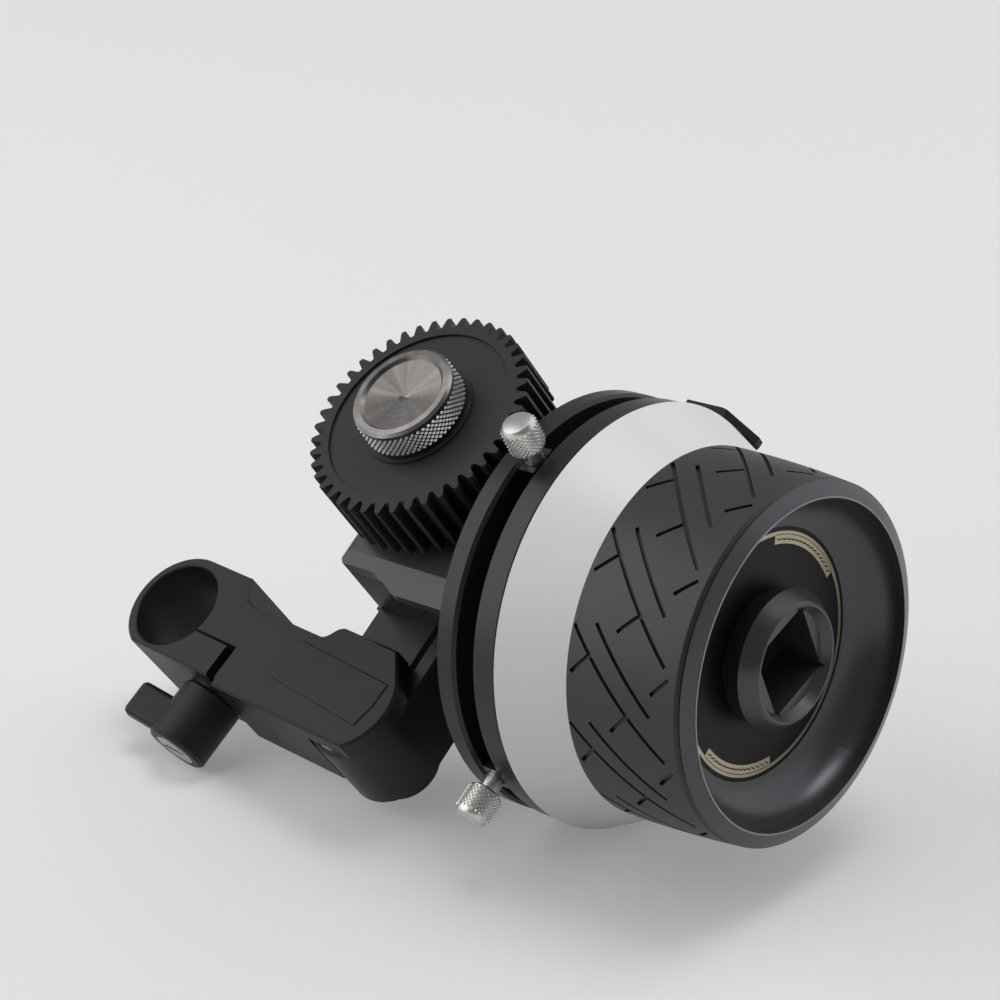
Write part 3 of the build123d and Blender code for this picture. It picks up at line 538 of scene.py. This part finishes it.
def stop_head(letter):
    """A stop's screw with a knurled head, standing where its solid stands."""
    node = "stop_" + letter + "_screw"
    low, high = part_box(node)
    outward = Vector((0, 0, 0))
    for vertex in frame["nodes"][node].data.vertices:
        y, z = vertex.co.y - wheel_axis.y, vertex.co.z - wheel_axis.z
        if hypot(y, z) > head_end:
            outward += Vector((0, y, z))
    outward.normalize()
    turned_body = lathe(head_profile, 40)
    knurl = knurl_rows(2.55 * MM, 34.5 * MM, 38.45 * MM, 24, 0.25 * MM)
    piece = join([turned_body, knurl])
    stand(piece, ((low.x + high.x) / 2, *wheel_at[1:]), outward)
    settle(piece, "stop_" + letter + "_head", "stop_" + letter + "_clamp", "stop_silver",
           25)
    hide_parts(node)


stop_head("a")
stop_head("b")

# --------------------------------------------------------------------- rubber grip
around = 180            # cells round the grip
rows = 40               # half rows of cells along it
back_r, front_r, inner_r, bulge = 27.7 * MM, 26.8 * MM, 24.75 * MM, 0.25 * MM
lip = 0.5 * MM
grip_low, grip_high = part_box("rubber_grip")
tread_length = grip_high.x - grip_low.x - lip
ring_gap = tread_length / rows


def grip_radius(t):
    """Outer radius at t of the way from the disc to the rim."""
    return back_r + (front_r - back_r) * t + bulge * 4 * t * (1 - t)


def in_groove(face):
    """Long slants with a feather of short strokes, and short slants between them."""
    v = round((face.center.x - grip_low.x) / ring_gap)
    u = round(about_wheel(face.center)[0] / (180 / around))
    if not 0 < v < rows:
        return False
    repeat = 30
    slant, stroke = (u - v) % repeat, (u + v) % repeat
    long_slant = slant == 1 and v <= 35
    feather = stroke == 17 and 3 <= slant <= 13
    short_slant = slant == 21 and 9 <= v <= 31
    return long_slant or feather or short_slant


def lattice_sleeve():
    """Open sleeve along the grip; each ring is turned by half a cell, to and fro."""
    nothing_selected()
    bpy.ops.mesh.primitive_circle_add(vertices=around, radius=grip_radius(0),
                                      location=(grip_low.x, *wheel_at[1:]),
                                      rotation=(0, pi / 2, 0))
    piece = bpy.context.object
    apply_all()
    to_edit()
    select_whole()
    for k in range(1, rows + 1):
        centre = (grip_low.x + k * ring_gap, *wheel_at[1:])
        grow = grip_radius(k / rows) / grip_radius((k - 1) / rows)
        move_on((ring_gap, 0, 0))
        bpy.ops.transform.resize(value=(1, grow, grow), center_override=centre)
        bpy.ops.transform.rotate(value=(pi / around) * (1 if k % 2 else -1), orient_axis="X",
                                 center_override=centre)
    return piece


sleeve = lattice_sleeve()


def pull_in(length, start, end):
    """Carries the chosen ring on by length while its radius goes from start to end."""
    x = max(v.co.x for v in sleeve.data.vertices)
    move_on((length, 0, 0))
    bpy.ops.transform.resize(value=(1, end / start, end / start),
                             center_override=(x, *wheel_at[1:]))


def level_edge(edge):
    """The edges across the tread's cells, which run round the grip."""
    a, b = (sleeve.data.vertices[i].co for i in edge.vertices)
    inside = grip_low.x + ring_gap * 0.5 < a.x < grip_low.x + tread_length - ring_gap * 0.5
    return inside and abs(a.x - b.x) < ring_gap * 0.2


# the lip, the front face, the back face and the bore
pull_in(lip, front_r, front_r - lip)
pull_in(0, front_r - lip, inner_r)
pick(sleeve, lambda v: v.co.x < grip_low.x + 0.01 * MM, "vertices")
pull_in(0, back_r, inner_r)
pick(sleeve, lambda v: about_wheel(v.co)[1] < inner_r + 0.1 * MM, "vertices")
bpy.ops.mesh.bridge_edge_loops()
set_normals()

# the tread: a lattice of diamond cells, some of them pressed in
pick(sleeve, lambda f: about_wheel(f.center)[1] > front_r - 0.1 * MM
     and f.center.x < grip_high.x - lip)
bpy.ops.mesh.quads_convert_to_tris(quad_method="SHORTEST_DIAGONAL")
bpy.ops.mesh.select_mode(type="EDGE")
pick(sleeve, level_edge, "edges")
bpy.ops.mesh.dissolve_edges(use_verts=False)
bpy.ops.mesh.select_mode(type="FACE")
pick(sleeve, in_groove)
bpy.ops.mesh.inset(thickness=0.035 * MM, depth=0)
bpy.ops.mesh.extrude_region_shrink_fatten(TRANSFORM_OT_shrink_fatten={"value": -0.6 * MM})
settle(sleeve, "tread_grip", "wheel", "grip_rubber", 32)
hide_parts("rubber_grip")


# ------------------------------------------------------------------- badge and rim
def band(name, finish, x, inner, outer, start=0, end=360, thick=0.04 * MM):
    """A thin flat ring, or the part of one from start to end, on a face of the wheel."""
    nothing_selected()
    turn = radians(start)
    bpy.ops.mesh.primitive_plane_add(
        size=1, rotation=(turn, 0, 0), location=on_wheel(x + thick / 2, turn, (inner + outer) / 2))
    piece = bpy.context.object
    piece.scale = (thick, outer - inner, 1)
    apply_all()
    to_edit()
    select_whole()
    bpy.ops.mesh.spin(steps=round((end - start) / 2), angle=-radians(end - start),
                      center=wheel_at, axis=(1, 0, 0))
    select_whole()
    bpy.ops.mesh.remove_doubles(threshold=1e-7)
    bpy.ops.mesh.normals_make_consistent(inside=False)
    settle(piece, name, "wheel", finish)


def ticks(name, start, end, count):
    """Short dark bars across a bright arc, evenly spaced."""
    nothing_selected()
    turn = radians(start)
    bpy.ops.mesh.primitive_plane_add(
        size=1, rotation=(turn, pi / 2, 0),
        location=on_wheel(badge_x + 0.06 * MM, turn, 16.85 * MM))
    piece = bpy.context.object
    piece.scale = (0.2 * MM, 0.75 * MM, 1)
    apply_all()
    to_edit()
    select_whole()
    move_on((-0.04 * MM, 0, 0))
    set_normals()
    bpy.ops.mesh.spin(steps=count - 1, dupli=True, angle=-radians(end - start),
                      center=wheel_at, axis=(1, 0, 0))
    settle(piece, name, "wheel", "badge_black")


badge_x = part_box("badge_disc")[1].x
band("badge_ring", "badge_gold", badge_x, 17.5 * MM, 18.05 * MM)
band("badge_arc_top", "badge_gold", badge_x, 16.2 * MM, 17.6 * MM, 79, 135)
band("badge_arc_low", "badge_gold", badge_x, 16.2 * MM, 17.6 * MM, 270, 326)
ticks("badge_ticks_top", 82, 132, 15)
ticks("badge_ticks_low", 273, 323, 15)

rim_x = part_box("front_rim")[1].x
band("rim_edge", "rim_bright", rim_x - 0.1 * MM, 24.25 * MM, 24.5 * MM, thick=0.14 * MM)


# ---------------------------------------------------------------------------- arm
def face_plate(name, body, finish, y, thick, outline):
    """A thin plate on a face that looks along -Y, bevelled round its edge.
    The outline is in millimetres."""
    outline = [Vector((x * MM, z * MM)) for x, z in outline]
    centre = sum(outline, Vector((0, 0))) / len(outline)
    nothing_selected()
    bpy.ops.mesh.primitive_circle_add(
        vertices=len(outline), radius=MM, fill_type="NGON", rotation=(pi / 2, 0, 0),
        location=(centre.x, y, centre.y))
    piece = bpy.context.object
    apply_all()
    to_edit()
    places = [v.co.copy() for v in piece.data.vertices]
    corners = sorted(outline, key=lambda p: atan2(p.y - centre.y, p.x - centre.x))
    order = sorted(range(len(places)),
                   key=lambda i: atan2(places[i].z - centre.y, places[i].x - centre.x))
    for i, corner in zip(order, corners):
        pick(piece, lambda v: v.index == i, "vertices")
        bpy.ops.transform.translate(value=(corner.x - places[i].x, 0, corner.y - places[i].z))
    select_whole()
    move_on((0, -thick, 0))
    set_normals()
    bpy.ops.mesh.select_mode(type="FACE")
    pick(piece, lambda f: f.normal.y < -0.9)
    bpy.ops.mesh.bevel(offset=thick * 1.2, segments=2, affect="EDGES")
    settle(piece, name, body, finish, 20)


arm_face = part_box("clamp_arm")[0].y
face_plate("arm_band", "arm", "arm_black", arm_face, 0.2 * MM, [
    (28.3, 1.35), (48.3, -0.85), (48.0, -5.0), (46.9, -8.7), (27.2, -5.95), (26.2, -5.4),
    (25.7, -4.4), (26.0, -3.0), (27.2, 0.6)])


# --------------------------------------------------------------------------- size
def corners(box):
    return [[round(value, 6) for value in corner] for corner in box]


{"solids": corners(solid_box), "shown": corners(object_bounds())}
